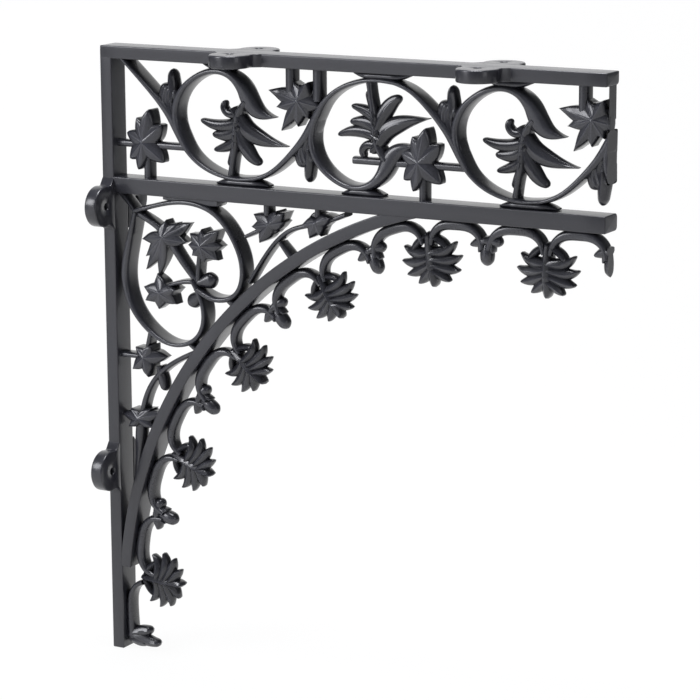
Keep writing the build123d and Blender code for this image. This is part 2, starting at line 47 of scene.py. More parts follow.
# Camera: a long lens from the right and a little above, as the bracket is seen in the picture
turn, tilt, roll = math.radians(29.04), math.radians(12.06), math.radians(-0.28)
ahead = Vector((-math.sin(turn) * math.cos(tilt), math.cos(turn) * math.cos(tilt), -math.sin(tilt)))
right = Vector((math.cos(turn), math.sin(turn), 0.0))
up = right.cross(ahead)
right, up = (right * math.cos(roll) + up * math.sin(roll), up * math.cos(roll) - right * math.sin(roll))
aim = Vector((276.84, -MID_TO_FRONT, 335.17 - FOOT_TO_ORIGIN)) * MM
lens = bpy.data.cameras.new("camera")
lens.lens = 147.83
lens.sensor_width = 36.0
lens.shift_x, lens.shift_y = -0.0007, -0.0002
lens.clip_end = 60.0
camera = bpy.data.objects.new("camera", lens)
bpy.context.scene.collection.objects.link(camera)
axes = Matrix((right, up, -ahead)).transposed()
camera.matrix_world = Matrix.Translation(aim - ahead * 2.71375) @ axes.to_4x4()
bpy.context.scene.camera = camera


# Finish: satin black paint over grey iron cast in sand, with a fine grain from the sand showing through it. Its colour
# also
# carries painted light: painted shade on stem sides and in leaf hollows, and a painted highlight with a little rubbed
# wear on faces and crests.
class Wire:
    """A value on its way through a material. Plain arithmetic on it adds the Math nodes."""

    def __init__(self, tree, socket=None):
        self.tree = tree
        self.socket = socket

    def node(self, kind, settings, values, out=0):
        """Any other node: its type, its settings, and the values or wires of its sockets."""
        made = self.tree.nodes.new(kind)
        for name, value in settings.items():
            setattr(made, name, value)
        for name, value in values.items():
            if isinstance(value, Wire):
                self.tree.links.new(value.socket, made.inputs[name])
            else:
                made.inputs[name].default_value = value
        return Wire(self.tree, made.outputs[out] if len(made.outputs) else None)

    def sum(self, operation, first, second):
        return self.node("ShaderNodeMath", {"operation": operation}, {0: first, 1: second})

    def __add__(self, other):
        return self.sum("ADD", self, other)

    def __sub__(self, other):
        return self.sum("SUBTRACT", self, other)

    def __rsub__(self, other):
        return self.sum("SUBTRACT", other, self)

    def __mul__(self, other):
        return self.sum("MULTIPLY", self, other)

    __radd__ = __add__
    __rmul__ = __mul__


def painted_iron(name, painted_shade_tone, face, painted_light_and_wear, rough, grain):
    """Three near-black tones over a fine sand-cast grain: painted shade, plain face, and a painted highlight with
    rubbed wear.
    """
    material = bpy.data.materials.new(name)
    material.use_nodes = True
    tree = material.node_tree
    tree.nodes.clear()
    start = Wire(tree)
    place = start.node("ShaderNodeTexCoord", {}, {}, out="Object")
    # Mesh value for the colour: painted highlight on faces and crests, painted shade on sides and in hollows
    height = start.node("ShaderNodeAttribute", {"attribute_name": "painted_light_and_wear"}, {}, out="Fac")
    sand = start.node("ShaderNodeTexNoise", {}, {"Vector": place, "Scale": 600.0, "Detail": 3.0, "Roughness": 0.6})
    runs = start.node("ShaderNodeTexNoise", {}, {"Vector": place, "Scale": 55.0, "Detail": 2.0, "Roughness": 0.5})
    dust = start.node("ShaderNodeTexNoise", {}, {"Vector": place, "Scale": 14.0, "Detail": 4.0, "Roughness": 0.55})
    depth = height + (dust - 0.5) * 0.5 + (sand - 0.5) * 0.35
    # Colour runs from painted shade through the face tone to a painted highlight, with random dust and sand tone mixed
    # in
    tone = start.node("ShaderNodeValToRGB", {}, {"Fac": depth})
    ramp = tone.socket.node.color_ramp
    ramp.elements[0].position, ramp.elements[0].color = 0.1, (*painted_shade_tone, 1.0)
    ramp.elements[1].position, ramp.elements[1].color = 1.0, (*painted_light_and_wear, 1.0)
    middle = ramp.elements.new(0.5)
    middle.color = (*face, 1.0)
    relief = sand * grain + runs * (grain * 6.0)
    bump = start.node("ShaderNodeBump", {}, {"Height": relief, "Strength": 1.0, "Distance": 1.0})
    shine = rough + (dust - 0.5) * 0.12 + (sand - 0.5) * 0.14
    skin_shader = start.node("ShaderNodeBsdfPrincipled", {}, {
        "Base Color": tone, "Roughness": shine, "Normal": bump, "Specular IOR Level": 0.5,
        "Coat Weight": 0.35, "Coat Roughness": 0.18})
    start.node("ShaderNodeOutputMaterial", {}, {"Surface": skin_shader})
    return material


# Darkest tone is painted shade, lightest a painted highlight with a little rubbed wear; the leaf paint's wider range
# paints stronger highlights
bar_paint = painted_iron("bar_paint", (0.014, 0.0142, 0.0175), (0.022, 0.0224, 0.028), (0.036, 0.037, 0.046),
                         rough=0.33, grain=0.00002)
leaf_paint = painted_iron("leaf_paint", (0.006, 0.0061, 0.0078), (0.021, 0.0215, 0.027), (0.06, 0.0615, 0.075),
                          rough=0.3, grain=0.000012)


# Studio: a pale paper sweep that runs under the bracket and up behind it, a wider pale floor, and
# four soft lamps: overhead, low in front, high at the left and at the right.
def stage_paint(name, colour, own_light):
    """Matt paper; what the camera and mirrors see of it also has a little light of its own."""
    material = bpy.data.materials.new(name)
    material.use_nodes = True
    tree = material.node_tree
    tree.nodes.clear()
    start = Wire(tree)
    seen = start.node("ShaderNodeLightPath", {}, {}, out="Is Camera Ray")
    mirrored = start.node("ShaderNodeLightPath", {}, {}, out="Is Glossy Ray")
    through = start.node("ShaderNodeLightPath", {}, {}, out="Is Transmission Ray")
    paper = start.node("ShaderNodeBsdfDiffuse", {}, {"Color": (*colour, 1.0)})
    glow = start.node("ShaderNodeEmission", {}, {"Color": (1.0, 1.0, 1.0, 1.0), "Strength": 1.0})
    share = (seen + mirrored + through) * own_light
    both = start.node("ShaderNodeMixShader", {}, {0: share, 1: paper, 2: glow})
    start.node("ShaderNodeOutputMaterial", {}, {"Surface": both})
    return material


def skin(rings, loop=False):
    """Points and faces of a surface from rings of points (rows, around, xyz), closed around.
    The ends are closed by a point in the middle of the first and last ring, or joined if loop."""
    rows, around = rings.shape[:2]
    if loop:
        here = np.arange(rows * around).reshape(rows, around)
        there = np.roll(here, -1, axis=0)
        points = rings.reshape(-1, 3)
    else:
        here = np.arange((rows - 1) * around).reshape(rows - 1, around)
        there = here + around
        points = np.concatenate([rings.reshape(-1, 3), rings[0].mean(0)[None], rings[-1].mean(0)[None]])
    quads = np.stack([here, np.roll(here, -1, 1), np.roll(there, -1, 1), there], -1).reshape(-1, 4)
    if loop:
        return points, quads, np.empty((0, 3), int)
    first, last = np.arange(around), np.arange(around) + (rows - 1) * around
    pole = rows * around
    fans = np.concatenate([
        np.stack([np.roll(first, -1), first, np.full(around, pole)], -1),
        np.stack([last, np.roll(last, -1), np.full(around, pole + 1)], -1),
    ])
    return points, quads, fans


def volume(points, quads, fans):
    """Signed volume inside the faces: the sum of each triangle's corner product over six."""
    triangles = np.concatenate([quads[:, [0, 1, 2]], quads[:, [0, 2, 3]], fans])
    a, b, c = (points[triangles[:, i]] for i in range(3))
    return float(np.einsum("ij,ij->i", a, np.cross(b, c)).sum())


def sawn(rings, painted_light_and_wear, end):
    """Rings cut off flat at a distance from the wall: points beyond it are drawn back onto the
    cut, and rings wholly beyond it go, but for the one that closes the cut."""
    kept = np.flatnonzero(rings[..., 0].min(1) < end)
    if len(kept) == 0:
        return None
    part = slice(max(kept[0] - 1, 0), kept[-1] + 2)
    rings = rings[part].copy()
    rings[..., 0] = np.minimum(rings[..., 0], end)
    return rings, painted_light_and_wear[part]


def cast(name, shells, paint, *nodes, end=None):
    """One piece from closed shells of (rings, painted light value): placed in the frame, faces outward, smooth.
    With end, what lies beyond that distance from the wall is cut off flat, each shell a hair
    shorter than the last so that no two faces fall together."""
    if end is not None:
        cuts = [sawn(*shell, end - 0.04 * order) for order, shell in enumerate(shells)]
        shells = [cut for cut in cuts if cut is not None]
    points, faces, painted_light_and_wear_parts, count = [], [], [], 0
    for shell in shells:
        rings, painted_light_and_wear = shell[:2]
        loop = len(shell) > 2
        vertices, quads, fans = skin(rings, loop)
        if volume(vertices - vertices.mean(0), quads, fans) < 0:
            quads, fans = quads[:, ::-1], fans[:, ::-1]
        painted_light_and_wear = np.broadcast_to(painted_light_and_wear, rings.shape[:2])
        painted_light_and_wear = painted_light_and_wear.ravel() if loop else np.r_[painted_light_and_wear.ravel(), painted_light_and_wear[0].mean(), painted_light_and_wear[-1].mean()]
        points.append(vertices)
        painted_light_and_wear_parts.append(painted_light_and_wear)
        faces += (quads + count).tolist() + (fans + count).tolist()
        count += len(vertices)
    placed = (np.concatenate(points) - (0.0, 0.0, FOOT_TO_ORIGIN)) * MM
    mesh = bpy.data.meshes.new(name)
    mesh.from_pydata(placed, [], faces)
    # The value painted into the colour as shade and highlight goes with the mesh
    mesh.attributes.new("painted_light_and_wear", "FLOAT", "POINT").data.foreach_set("value", np.concatenate(painted_light_and_wear_parts).astype(np.float32))
    mesh.polygons.foreach_set("use_smooth", np.ones(len(mesh.polygons), bool))
    mesh.set_sharp_from_angle(angle=CREASE)
    mesh.materials.append(paint)
    mesh.validate()
    piece = bpy.data.objects.new(name, mesh)
    bpy.context.scene.collection.objects.link(piece)
    if nodes:
        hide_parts(*nodes)
        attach(piece, "root")
    return piece


def sheet(name, rows, paint):
    """An open grid of points (rows, along, xyz) in metres, for the floor and the sweep."""
    height, width = rows.shape[:2]
    here = np.arange((height - 1) * width).reshape(height - 1, width)[:, :-1]
    quads = np.stack([here, here + 1, here + width + 1, here + width], -1).reshape(-1, 4)
    mesh = bpy.data.meshes.new(name)
    mesh.from_pydata(rows.reshape(-1, 3), [], quads.tolist())
    mesh.polygons.foreach_set("use_smooth", np.ones(len(mesh.polygons), bool))
    mesh.materials.append(paint)
    made = bpy.data.objects.new(name, mesh)
    bpy.context.scene.collection.objects.link(made)
    return made


floor_level = -FOOT_TO_ORIGIN * MM - 0.001
span = np.linspace(-12.0, 12.0, 13)
floor_grid = np.stack([*np.meshgrid(span, span), np.full((13, 13), floor_level - 0.004)], -1)
sheet("floor", floor_grid, stage_paint("floor_paper", (0.8, 0.8, 0.8), 0.3))
bend = np.linspace(0.0, math.pi / 2, 16)
far = np.r_[-3.0, -1.0, 0.5, 1.0 + 0.5 * np.sin(bend), 1.5]
rise = np.r_[0.0, 0.0, 0.0, 0.5 - 0.5 * np.cos(bend), 2.4]
side = np.linspace(-0.95, 0.95, 9)
flat_right, flat_ahead = np.array((math.cos(turn), math.sin(turn))), np.array((-math.sin(turn), math.cos(turn)))
sweep_xy = side[None, :, None] * flat_right + far[:, None, None] * flat_ahead + (0.2, 0.0)
sweep_z = np.broadcast_to((rise + floor_level)[:, None, None], (len(far), 9, 1))
sheet("paper_sweep", np.concatenate([sweep_xy, sweep_z], -1), stage_paint("sweep_paper", (0.9, 0.9, 0.9), 0.95))


def soft_lamp(name, place, size, power):
    """A square soft lamp that faces the middle of the bracket."""
    light = bpy.data.lights.new(name, "AREA")
    light.shape = "SQUARE"
    light.size = size
    light.energy = power
    light.color = (0.95, 0.955, 1.0)
    lamp = bpy.data.objects.new(name, light)
    lamp.location = place
    lamp.rotation_euler = (aim - Vector(place)).to_track_quat("-Z", "Y").to_euler()
    bpy.context.scene.collection.objects.link(lamp)
    return lamp


soft_lamp("lamp_overhead", (0.2, -0.05, 2.0), 1.0, 55.0)
soft_lamp("lamp_front_low", (-0.9, -2.0, 0.1), 1.0, 2.5)
soft_lamp("lamp_front_left", (-1.5, -2.1, 1.3), 1.2, 45.0)
soft_lamp("lamp_right", (2.3, -0.9, 0.5), 0.7, 3.0)
studio = bpy.data.worlds.new("studio")
studio.use_nodes = True
studio.node_tree.nodes["Background"].inputs["Color"].default_value = (0.93, 0.95, 1.0, 1.0)
studio.node_tree.nodes["Background"].inputs["Strength"].default_value = 0.15
bpy.context.scene.world = studio
bpy.context.scene.view_settings.view_transform = "Standard"


# Frame: four flat bars of one depth, cast together. Their front edges are crisp, the two rear
# edges of each long bar are rounded, and the arch rib runs out against the foot of the wall bar.
projection, height, depth = 537.0, 610.0, 27.0
wall_bar_width, shelf_bar_height, rail_height, frieze_height = 13.0, 12.5, 16.0, 115.5
rail_top = height - shelf_bar_height - frieze_height
rail_bottom = rail_top - rail_height
shelf_bar_bottom = height - shelf_bar_height
arch_radius, arch_width = 447.0, 12.0
arch_inner = arch_radius - arch_width
arch_x, arch_z = wall_bar_width + arch_radius - 4.3, rail_bottom + 26.0 - arch_radius


def swept(line, across, out):
    """Rings along a line in the bracket's plane: each point is the line's point, plus across
    times the line's normal, plus out along the depth."""
    dx, dz = np.gradient(line[:, 0]), np.gradient(line[:, 1])
    run = np.hypot(dx, dz)
    across, out = np.broadcast_arrays(across, out)
    x = line[:, 0:1] - (dz / run)[:, None] * across
    z = line[:, 1:2] + (dx / run)[:, None] * across
    return np.stack([x, np.broadcast_to(out, x.shape), z], -1)


def bar(line, width, rounds, eased, proud=0.0):
    """A bar along a line. Its section is a rectangle with four quarter rounds (low front, high
    front, high rear, low rear), drawn in by eased times 1 - sin at both ends. Where bars lap, one
    stands proud of the other by a hair."""
    swing = np.linspace(0, math.pi / 2, 6)
    across, out, lift_across, lift_out = [], [], [], []
    corners = (-1, -1), (1, -1), (1, 1), (-1, 1)
    for (side_across, side_out), radius in zip(corners, rounds):
        order = swing if side_across == side_out else swing[::-1]
        lift_across.append(side_across * np.cos(order))
        lift_out.append(side_out * np.sin(order))
        across.append(side_across * (width / 2 - radius) + radius * lift_across[-1])
        out.append(side_out * (depth / 2 + proud - radius) + radius * lift_out[-1])
    across, out, lift_across, lift_out = (np.concatenate(part) for part in (across, out, lift_across, lift_out))
    swing = np.linspace(0, math.pi / 2, 5)
    first, last = line[1] - line[0], line[-1] - line[-2]
    head = line[0] + np.outer(eased * (1 - np.cos(swing)), first / np.hypot(*first))
    tail = line[-1] - np.outer(eased * (1 - np.cos(swing[::-1])), last / np.hypot(*last))
    path = np.concatenate([head, line[1:-1], tail])
    drawn = np.r_[eased * (1 - np.sin(swing)), np.zeros(len(line) - 2), eased * (1 - np.sin(swing[::-1]))][:, None]
    rings = swept(path, across - drawn * lift_across, out - drawn * lift_out)
    return rings, np.full(rings.shape[:2], 0.5)


def straight(x0, z0, x1, z1, count=24):
    """Points along a straight line."""
    share = np.linspace(0, 1, count)[:, None]
    return (1 - share) * (x0, z0) + share * (x1, z1)


crisp, soft, hair = 1.1, 4.0, 0.02
cast("upright", [bar(straight(wall_bar_width / 2, 0, wall_bar_width / 2, height - 2.5), wall_bar_width,
                     (crisp, crisp, 1.5, soft), eased=1.4)], bar_paint, "wall_bar")
cast("shelf_rail", [bar(straight(hair, height - shelf_bar_height / 2, projection, height - shelf_bar_height / 2),
                        shelf_bar_height, (crisp, crisp, crisp, soft), eased=1.4, proud=hair)], bar_paint, "shelf_bar")
cast("frieze_rail", [bar(straight(11.5, rail_top - rail_height / 2, projection, rail_top - rail_height / 2),
                         rail_height, (crisp, crisp, soft, soft), eased=1.0, proud=hair)], bar_paint, "middle_rail")


def arch_line(radius, start, end, count=90):
    """Points on a circle about the arch centre, between two directions in degrees from +X."""
    angle = np.radians(np.linspace(start, end, count))
    return np.stack([arch_x + radius * np.cos(angle), arch_z + radius * np.sin(angle)], -1)


arch_foot_angle = 175.8
arch_top = 180 - math.degrees(math.asin((rail_bottom + rail_height / 2 - arch_z) / arch_inner))
rings, painted_light_and_wear = bar(arch_line((arch_radius + arch_inner) / 2, arch_foot_angle - 1.2, arch_top), arch_width,
                   (crisp, crisp, soft, 1.5), eased=0.8, proud=-hair)
lap = 0.4
rings[..., 0] = np.maximum(rings[..., 0], wall_bar_width - lap)
rings[..., 2] = np.minimum(rings[..., 2], rail_bottom + lap)
cast("arch", [(rings, painted_light_and_wear)], bar_paint, "arch_rib")


# Screw lugs: two pairs on the shelf bar, two pairs on the wall bar, cast on the bars' front and
# rear faces. Each is a round lobe about its drilled hole, with hollow blends into the bar.
lug_radius, lug_reach, lug_blend, screw_hole = 20.0, 13.4, 8.0, 7.5


def lug(thick):
    """Rings about the screw hole: out along the top face to the lobe's outline, down its rim and
    back below. The outline's distance in each direction is read from its three arcs."""
    blend_x = math.sqrt((lug_radius + lug_blend) ** 2 - (lug_reach - lug_blend) ** 2)
    lean = math.pi - math.atan2(lug_reach - lug_blend, blend_x)
    sweep_angle = np.linspace(lean, 1.5 * math.pi, 16)
    blend = np.stack([blend_x + lug_blend * np.cos(sweep_angle), lug_blend + lug_blend * np.sin(sweep_angle)], -1)
    lobe_angle = np.linspace(math.pi / 2, lean - math.pi, 40)[:-1]
    round_part = np.stack([lug_radius * np.cos(lobe_angle), lug_reach + lug_radius * np.sin(lobe_angle)], -1)
    root = np.stack([np.linspace(blend_x, 0, 12), np.full(12, -2.0)], -1)
    half = np.concatenate([round_part, blend, root]) - (0, lug_reach)
    bearing = np.unwrap(np.arctan2(half[:, 1], half[:, 0]))
    angle = np.linspace(-math.pi / 2, 1.5 * math.pi, 121)[:-1]
    mirrored = np.where(angle > math.pi / 2, math.pi - angle, angle)
    outline = np.interp(mirrored, bearing[::-1], np.hypot(*half.T)[::-1])[:, None]
    hole = np.full_like(outline, screw_hole / 2)
    low, high = 0.0, thick
    profile = [(hole + 0.5, high), (0.5 * (hole + outline), high), (outline - 1.6, high), (outline - 0.8, high - 0.2),
               (outline - 0.2, high - 0.8), (outline, high - 1.6), (outline, low + 1.6), (outline - 0.2, low + 0.8),
               (outline - 0.8, low + 0.2), (outline - 1.6, low), (0.5 * (hole + outline), low), (hole + 0.5, low),
               (hole, low + 0.5), (hole, high - 0.5)]
    reach = np.concatenate([part[0] for part in profile], 1)
    level = np.array([part[1] for part in profile])
    along, away = reach * np.cos(angle)[:, None], lug_reach + reach * np.sin(angle)[:, None]
    return along, away, np.broadcast_to(level, along.shape)


for station, name in ((156.0, "inner"), (416.0, "outer")):
    for facing, where in ((-1, "front"), (1, "rear")):
        along, away, level = lug(shelf_bar_height)
        rings = np.stack([station + along, facing * (depth / 2 + away), shelf_bar_bottom + level], -1)
        cast(f"shelf_ear_{name}_{where}", [(rings, 0.5, True)], bar_paint, f"shelf_lug_{name}_{where}")
for station, name in ((188.0, "lower"), (454.0, "upper")):
    for facing, where in ((-1, "front"), (1, "rear")):
        along, away, level = lug(wall_bar_width)
        rings = np.stack([level, facing * (depth / 2 + away), station + along], -1)
        cast(f"wall_ear_{name}_{where}", [(rings, 0.5, True)], bar_paint, f"wall_lug_{name}_{where}")


# Frieze: a scroll that runs from the wall to the open end in half waves, every other one upside
# down. Stem and ring are rounded bands; the whole frieze is one casting with the bars.
frieze_halves = 3.47
half_wave = (projection - wall_bar_width) / frieze_halves
scroll_depth, tie_depth, acanthus_depth = 23.0, 16.0, 21.0


def thread(points, count=40):
    """A smooth line through rows of numbers: a cubic between each two rows over their distance
    apart, with slope and bend even where they meet and no bend at the ends."""
    rows = np.array(points, float)
    at = np.r_[0, np.cumsum(np.hypot(*np.diff(rows[:, :2], axis=0).T))]
    gap = np.diff(at)
    inner = np.arange(1, len(rows) - 1)
    system = np.eye(len(rows))
    system[inner, inner - 1] = gap[:-1]
    system[inner, inner] = 2 * (gap[:-1] + gap[1:])
    system[inner, inner + 1] = gap[1:]
    target = np.zeros_like(rows)
    target[1:-1] = 6 * np.diff(np.diff(rows, axis=0) / gap[:, None], axis=0)
    bend = np.linalg.solve(system, target)
    place = np.linspace(0, at[-1], count)
    k = np.clip(np.searchsorted(at, place, side="right") - 1, 0, len(rows) - 2)
    after = ((place - at[k]) / gap[k])[:, None]
    before = 1 - after
    curved = ((before ** 3 - before) * bend[k] + (after ** 3 - after) * bend[k + 1]) * gap[k][:, None] ** 2 / 6
    return before * rows[k] + after * rows[k + 1] + curved


def limb(line, deep, square=0.55, blunt=(0.0, 0.0), veins=0, around=24):
    """A stem or blade along a line of x, z and width. Its section is cos across and sin in depth,
    both to the power square: under 1 boxed, over 1 drawn to a ridge. Each end closes as a quarter
    round over its blunt length, and veins waves run along both faces."""
    step = np.r_[0, np.cumsum(np.hypot(*np.diff(line[:, :2], axis=0).T))]
    close = np.ones(len(line))
    for away, length in ((step, blunt[0]), (step[-1] - step, blunt[1])):
        if length > 0:
            close = close * np.sqrt(np.clip(1 - np.clip(1 - away / length, 0, 1) ** 2, 0.002, 1))
    t = np.arange(around) * 2 * math.pi / around
    across = np.sign(np.cos(t)) * np.abs(np.cos(t)) ** square
    out = np.sign(np.sin(t)) * np.abs(np.sin(t)) ** square
    if veins:
        out = out * (1 - 0.09 * (1 - np.cos(2 * math.pi * veins * across)) * (1 - np.abs(across)))
    deep = np.broadcast_to(deep, len(line)) * close
    rings = swept(line, (line[:, 2] / 2 * close)[:, None] * across, deep[:, None] * out)
    # Colour value is painted light: a painted highlight on the front and rear faces, painted shade on the sides
    return rings, np.broadcast_to(0.2 + 0.45 * np.abs(out) ** 2, rings.shape[:2])


def frieze(points):
    """Rows of percent along a half wave, percent up the frieze and width, set out in place."""
    rows = np.array(points, float)
    rows[:, 0] = wall_bar_width + rows[:, 0] / 100 * half_wave
    rows[:, 1] = rail_top + rows[:, 1] / 100 * frieze_height
    return rows


def half_turned(shells, count):
    """The same shells count half waves further out, upside down on every odd one."""
    made = []
    for rings, painted_light_and_wear in shells:
        rings = rings + (count * half_wave, 0, 0)
        if count % 2:
            rings[..., 2] = 2 * rail_top + frieze_height - rings[..., 2]
        made.append((rings, painted_light_and_wear))
    return made


def scroll(first):
    """The stem that turns into the bottom of its ring, the ring that rises out of it and flares to
    the first blade of its leaf, and the ring's seats on rail and shelf bar."""
    start = [(4.6, 102.2, 5), (11.3, 94.4, 5.5)] if first else [(4.0, 93.1, 5), (11.3, 90.0, 5.2)]
    stem = start + [(24.5, 78.4, 6.5), (34.5, 65.5, 8), (41.6, 54.6, 10), (48.3, 39.8, 10), (55.0, 26.0, 7),
                    (64.2, 15.6, 6), (76.2, 8.7, 5.5), (90.7, 5.6, 5), (104.0, 6.9, 5)]
    ring = [(55.0, 27.0, 4), (49.3, 39.0, 7), (46.0, 51.0, 9), (46.2, 63.0, 9), (50.2, 75.0, 8.5), (57.6, 84.8, 7.5),
            (67.5, 91.8, 7), (78.8, 93.9, 7.5), (88.7, 89.5, 10), (95.6, 80.0, 15), (99.6, 69.5, 18),
            (104.8, 62.3, 15), (110.6, 59.2, 8.5), (117.2, 58.0, 1)]
    seats = [[(75, 0.8, 2), (80, 2.0, 5.5), (89, 2.4, 7), (99, 2.4, 7), (108, 2.2, 5.5), (113, 1.0, 2)],
             [(66, 99.4, 2), (71, 98.0, 5.5), (80, 97.4, 8), (88, 97.8, 7), (95, 99.2, 2.5)]]
    half = scroll_depth / 2
    thinned = half * np.interp(np.linspace(0, 1, 120), [0, 0.72, 1], [1.0, 1.0, 0.45])
    shells = [limb(thread(frieze(stem), 110), half, 0.72, around=28),
              limb(thread(frieze(ring), 120), thinned, 0.78, around=28)]
    seat_deep = half * np.interp(np.linspace(0, 1, 24), [0, 0.25, 0.75, 1], [0.5, 0.85, 0.85, 0.5])
    return shells + [limb(thread(frieze(seat), 24), seat_deep, 0.75) for seat in seats]


def fork_bud():
    """The fluted sheath that fans out and fills the fork, and the tongue-shaped bud on it."""
    sheath = [(51.0, 35.0, 4), (46.8, 47.0, 10), (42.2, 58.0, 16), (40.2, 66.0, 24), (41.2, 73.0, 28), (43.5, 79.5, 23)]
    tongue = [(43.4, 64.0, 7), (43.0, 73.0, 12), (42.3, 82.5, 11.5), (41.9, 93.5, 8)]
    return [limb(thread(frieze(sheath), 60), np.linspace(11.0, 9.6, 60), 0.85, (0, 6), 2.5, around=72),
            limb(thread(frieze(tongue), 40), np.linspace(11.6, 8.8, 40), 1.1, (3, 7), 1)]


def acanthus():
    """The leaf that a ring curls into: blades with raised veins round a stalk on the ring."""
    blades = [
        ([(87.7, 63.9, 7), (90.7, 58.9, 12), (96.0, 47.6, 18), (104.0, 41.0, 17), (113.9, 37.2, 10),
          (125.8, 34.6, 1)], 1.1),
        ([(89.0, 55.2, 7), (90.1, 49.2, 11), (93.4, 36.5, 15), (98.0, 27.0, 15), (102.6, 21.5, 11),
          (107.0, 19.0, 6)], 1.1),
        ([(89.6, 36.0, 6), (87.5, 28.0, 9), (85.0, 20.5, 8.5), (82.8, 15.0, 5)], 1.1),
        ([(89.4, 42.1, 5), (89.0, 38.1, 9), (82.4, 31.6, 11), (71.6, 27.7, 4)], 1.1),
        ([(92.4, 48.9, 5), (89.9, 45.4, 11), (81.0, 40.7, 13), (70.6, 41.0, 5)], 1.1),
        ([(93.4, 54.0, 6), (90.7, 51.9, 10), (80.8, 48.6, 12.5), (70.9, 49.0, 10), (62.0, 52.5, 4)], 1.1),
        ([(95.0, 66.3, 6), (93.4, 62.3, 10), (87.4, 58.8, 9.5), (81.8, 60.2, 9), (79.8, 65.2, 8),
          (82.1, 69.4, 5)], 1.0),
    ]
    stalk = [(97.5, 70.0, 9), (91.5, 59.0, 9.5), (89.4, 45.9, 9.5), (88.4, 31.2, 9), (87.0, 19.9, 8), (85.4, 6.1, 9)]
    shells = [limb(thread(frieze(stalk), 60), np.linspace(10, 8, 60), 1.0)]
    for path, ridge in blades:
        deep = acanthus_depth / 2 * np.linspace(1.0, 0.42, 44)
        shells.append(limb(thread(frieze(path), 44), deep, ridge, (0, 4 if path[-1][2] > 1 else 0), 1.5, around=36))
    return shells


def lobed(x, z, ridge, lobes, web, half_width=26.0, tip=2.8, thick=25.0, edge=9.0, turns=480, vein=0.5, end=None):
    """A folded leaf about its centre. Its outline in each direction is the farthest of its lobes,
    each as wide as (0.6 + 0.4 sin) of the way along it and closed towards its tip, and nowhere
    less than web; its faces fall from the midrib at the angle ridge to the edge, and swell over
    every lobe to a raised vein. With end, the outline stops at that distance from the wall."""
    theta = np.arange(turns) * 2 * math.pi / turns
    outline = np.full(turns, float(web))
    q = np.linspace(0, 1, 160)
    form = (0.6 + 0.4 * np.sin(math.pi * np.clip(q, 0, 1))) * (1 - q ** tip) ** (0.5 if tip > 3 else 0.85)
    for angle, reach, width in lobes:
        half = np.maximum(width / 2 * form, 0.02)
        bearing = np.arctan2(half, q * reach)
        away = np.abs((theta - math.radians(angle) + math.pi) % (2 * math.pi) - math.pi)
        outline = np.maximum(outline, np.interp(away, bearing[::-1], np.hypot(q * reach, half)[::-1], right=web))
    if end is not None:
        outline = np.minimum(outline, (end - x) / np.maximum(np.cos(theta), 0.01))
    share = np.r_[0.04, 0.1, 0.18, 0.27, 0.37, 0.47, 0.57, 0.67, 0.76, 0.84, 0.91, 0.96, 1.0, 1.0]
    reach_in = share[:, None] * outline
    px, pz = reach_in * np.cos(theta), reach_in * np.sin(theta)
    near = np.full(px.shape, 9.0)
    rib = np.zeros(px.shape)
    for angle, reach, width in lobes:
        cos, sin = math.cos(math.radians(angle)), math.sin(math.radians(angle))
        along, off = px * cos + pz * sin, np.abs(pz * cos - px * sin)
        half = np.maximum(width / 2 * np.interp(along / reach, q, form), 0.4)
        gone = np.hypot(off, np.minimum(along, 0)) / half
        rib = np.where(gone < near, np.exp(-(off / 0.7) ** 2) * np.clip(1.2 - along / reach, 0, 1), rib)
        near = np.minimum(near, gone)
    slope = (thick - edge) / 2 / half_width
    off_ridge = np.abs(pz * math.cos(math.radians(ridge)) - px * math.sin(math.radians(ridge)))
    full = np.maximum(thick / 2 - slope * off_ridge, edge / 2)
    swell = np.sqrt(np.clip(1 - 0.85 * near ** 2, 0, 1))
    rim = np.r_[np.ones(10), 0.97, 0.9, 0.78, 0.4][:, None]
    front = full * (0.66 + 0.34 * swell) * rim + vein * rib
    face = np.stack([x + px, -front, z + pz], -1)
    # Colour value is painted light: a painted highlight over lobes and veins, painted shade towards notches and rim
    painted_light_and_wear = np.clip(0.15 + 0.5 * swell * rim + 0.25 * rib, 0, 1)
    rear = face[::-1] * (1, -1, 1)
    return np.concatenate([face, rear]), np.concatenate([painted_light_and_wear, painted_light_and_wear[::-1]])


def standing_leaf(reaches_wall):
    """Seven-lobed leaf on a post from the rail, tied sideways to the scroll."""
    places = frieze([(21.5, 30.5, 0), (0 if reaches_wall else -25, 28, 0), (53, 28, 0)])
    (x, z, _), (tie_start, tie_z, _), (tie_end, _, _) = places
    lobes = [(79, 33, 16), (108, 25, 14), (160, 23, 15), (224, 25, 16), (256, 28, 15), (318, 28, 17), (42, 26, 17)]
    tie = np.insert(straight(tie_start - 2, tie_z, tie_end, tie_z, 30), 2, 7.5, axis=1)
    post = np.insert(straight(x + 2, rail_top - 1, x + 2, z, 16), 2, 9.0, axis=1)
    return [lobed(x, z, 90, lobes, 13.5, tip=4.0), limb(tie, 5.6, 0.75), limb(post, 7.5, 0.75)]


